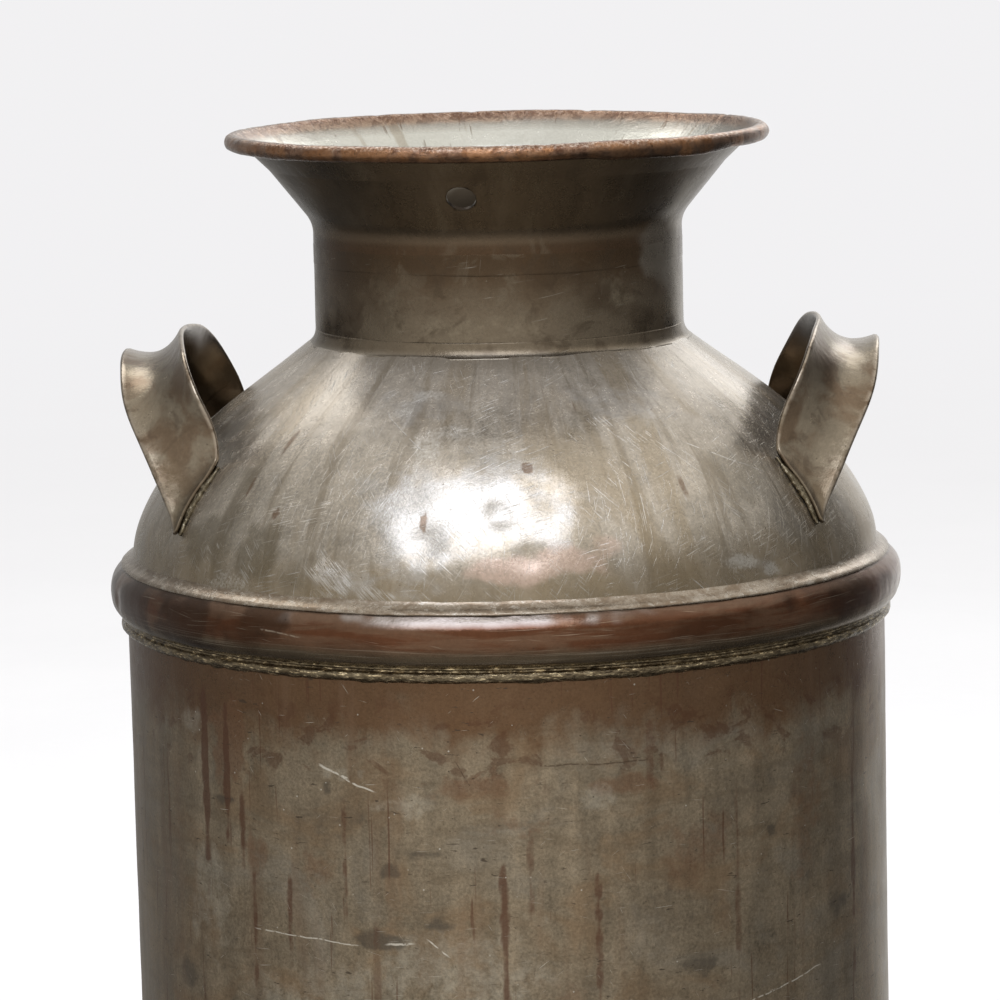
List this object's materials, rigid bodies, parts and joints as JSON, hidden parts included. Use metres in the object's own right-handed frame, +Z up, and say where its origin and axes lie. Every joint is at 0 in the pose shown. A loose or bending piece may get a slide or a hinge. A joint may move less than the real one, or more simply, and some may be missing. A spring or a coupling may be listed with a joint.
{
  "type": "milk can",
  "caption": "Tall steel dairy can: straight round body, domed breast under a rounded hoop, narrow neck, flared wired mouth and two fixed bail handles.",
  "frame": {"origin": "centre of the can on the plane it stands on", "axes": "+Z up along the can's axis towards the mouth; handles on +X and -X; the body's side seam on +Y"},
  "size_m": [0.3444, 0.3444, 0.61],
  "materials": {
    "body": "tarnished tinned steel sheet, satin, blotched grey-olive and brown, scratched",
    "bottom": "dull tinned steel, stained",
    "breast": "polished and tarnished tinned steel, warm grey, dented and finely scratched",
    "neck": "dark brown to olive tarnished steel, satin",
    "bell": "dark olive-brown outside, light grey tin inside, rough rust-brown pitted rim",
    "breast_hoop": "bare steel gone dark red-brown, satin sheen",
    "foot_hoop": "heavy steel band, worn dark brown, scuffed at the floor",
    "handle": "brown-grey satin steel, polished where hands go",
    "rim_wire": "drawn steel wire",
    "solder": "dull grey tin-lead solder, smeared and lumpy",
    "braze": "crusty yellow-grey braze, bright on its high spots"
  },
  "bodies": {
    "root": {"body_shell": "body", "side_seam_braze": "braze", "bottom_pan": "bottom", "bottom_solder": "solder", "foot_hoop": "foot_hoop", "foot_hoop_solder": "solder", "breast": "breast", "breast_hoop": "breast_hoop", "hoop_solder_upper": "solder", "hoop_solder_lower": "braze", "neck_tube": "neck", "neck_base_solder": "solder", "neck_top_solder": "solder", "bell": "bell", "rim_wire": "rim_wire", "handle_left": "handle", "handle_right": "handle", "handle_braze_left": "braze", "handle_braze_right": "braze"}
  },
  "joints": []
}
